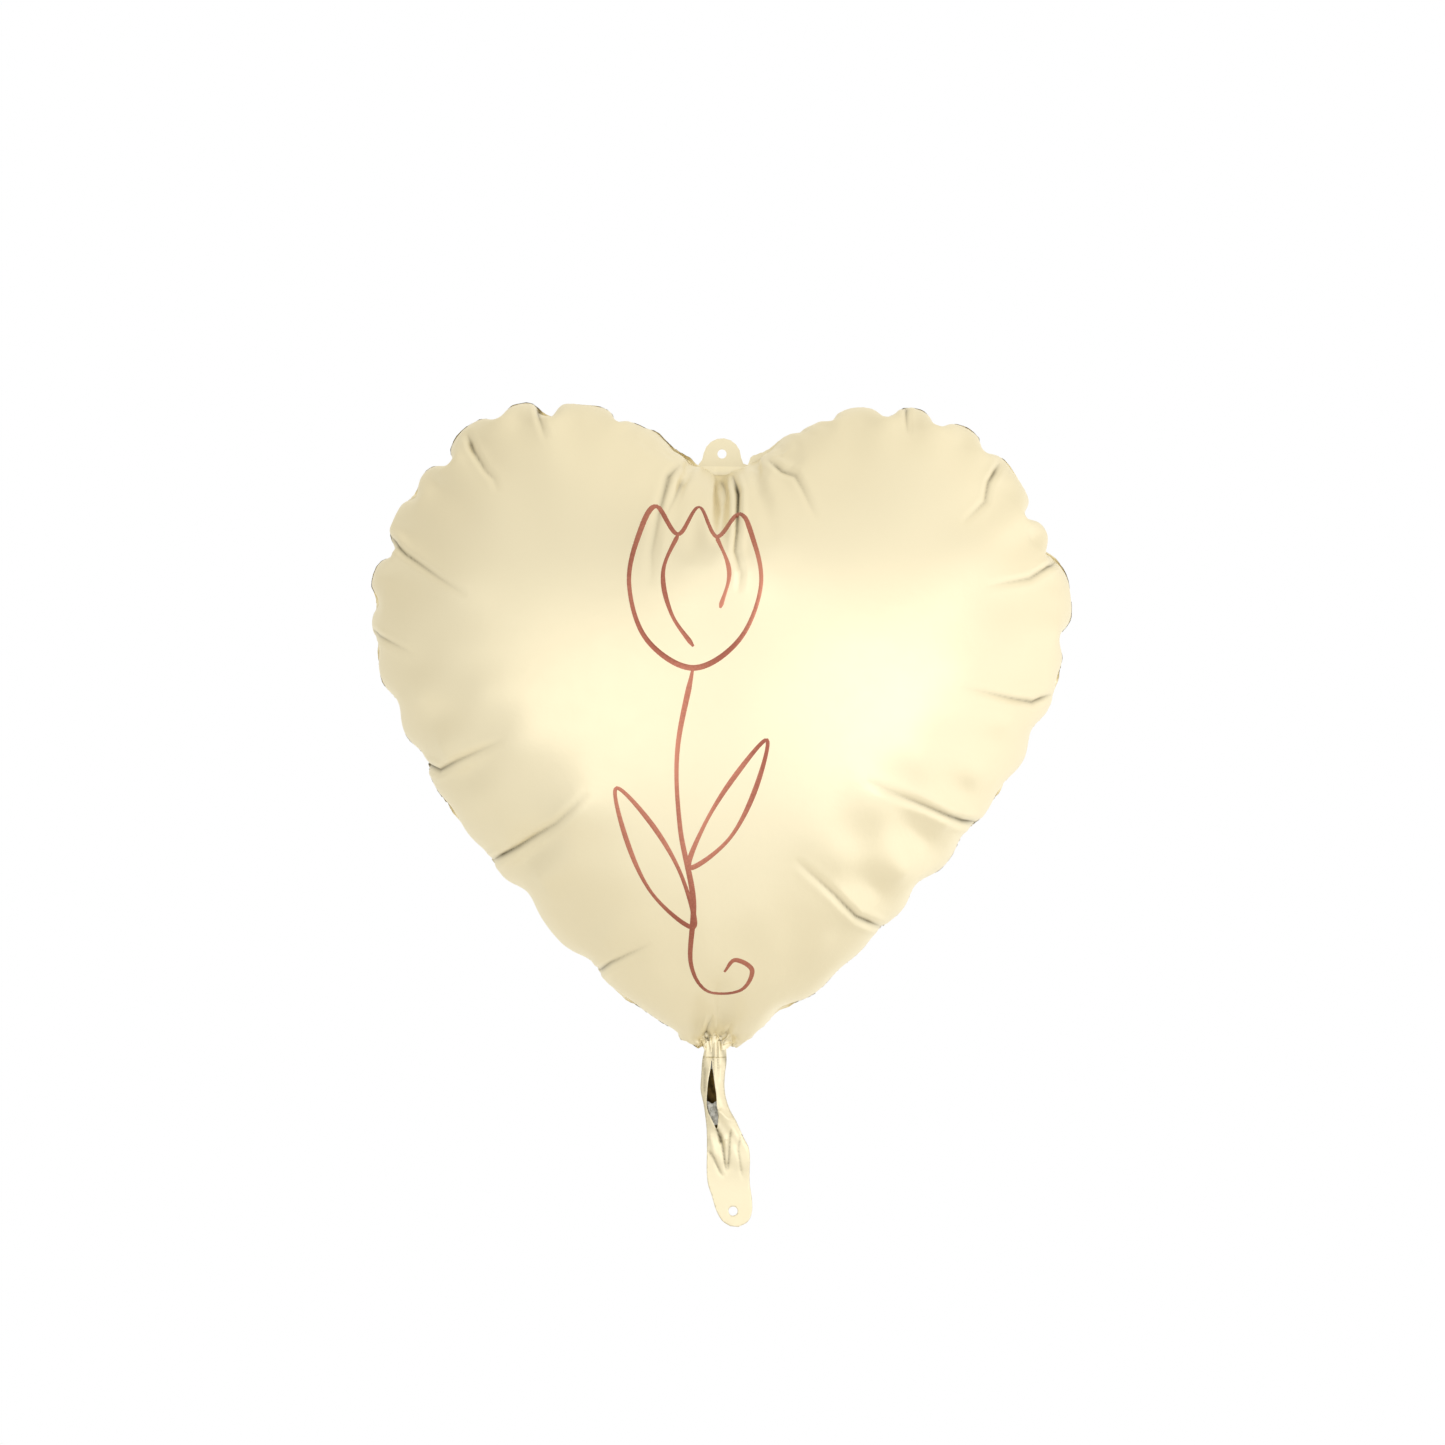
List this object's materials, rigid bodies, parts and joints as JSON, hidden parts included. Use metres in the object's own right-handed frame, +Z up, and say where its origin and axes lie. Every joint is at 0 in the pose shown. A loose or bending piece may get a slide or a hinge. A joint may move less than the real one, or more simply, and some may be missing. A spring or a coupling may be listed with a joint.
{
  "type": "heart-shaped foil balloon",
  "caption": "Inflated heart-shaped satin foil balloon with a line-drawn flower print, a punched hanging tab and a limp tail with a fill slot and self-sealing valve.",
  "frame": {"origin": "centre of the hanging tab's punched hole, in the weld plane between the two panels", "axes": "+Z up as the balloon hangs, from tail to tab; -Y out of the printed front; +X to the right seen from the front"},
  "size_m": [0.3852, 0.2, 0.4528],
  "materials": {
    "satin_foil": "satin cream lacquer on metallised film",
    "clear_film": "clear polyethylene film, slightly wrinkled",
    "rose_gold_print": "metallic rose gold ink"
  },
  "bodies": {
    "hang_tab": {"tab_front_ply": "satin_foil", "tab_back_ply": "satin_foil"},
    "heart": {"front_panel": "satin_foil", "back_panel": "satin_foil", "valve_sleeve_front": "clear_film", "valve_sleeve_back": "clear_film"},
    "neck": {"neck_front_ply": "satin_foil", "neck_back_ply": "satin_foil", "valve_neck_films": "clear_film"},
    "tail": {"tail_front_ply": "satin_foil", "tail_back_ply": "satin_foil", "tail_end": "satin_foil", "valve_back_film": "clear_film"},
    "valve_lip": {"valve_front_film": "clear_film"}
  },
  "joints": [
    {"name": "tab_fold", "type": "hinge", "parent": "hang_tab", "child": "heart", "pos_m": [0, 0, -0.006], "axis": [1, 0, 0], "range_deg": [-75, 75]},
    {"name": "neck_sway", "type": "hinge", "parent": "heart", "child": "neck", "pos_m": [0, 0, -0.3314], "axis": [0, 1, 0], "range_deg": [-40, 40]},
    {"name": "tail_flap", "type": "hinge", "parent": "neck", "child": "tail", "pos_m": [0, 0, -0.341], "axis": [1, 0, 0], "range_deg": [-100, 100]},
    {"name": "valve_open", "type": "slide", "parent": "tail", "child": "valve_lip", "axis": [0, -1, 0], "range_m": [0, 0.0014], "stiffness_N_per_m": 0.3}
  ]
}
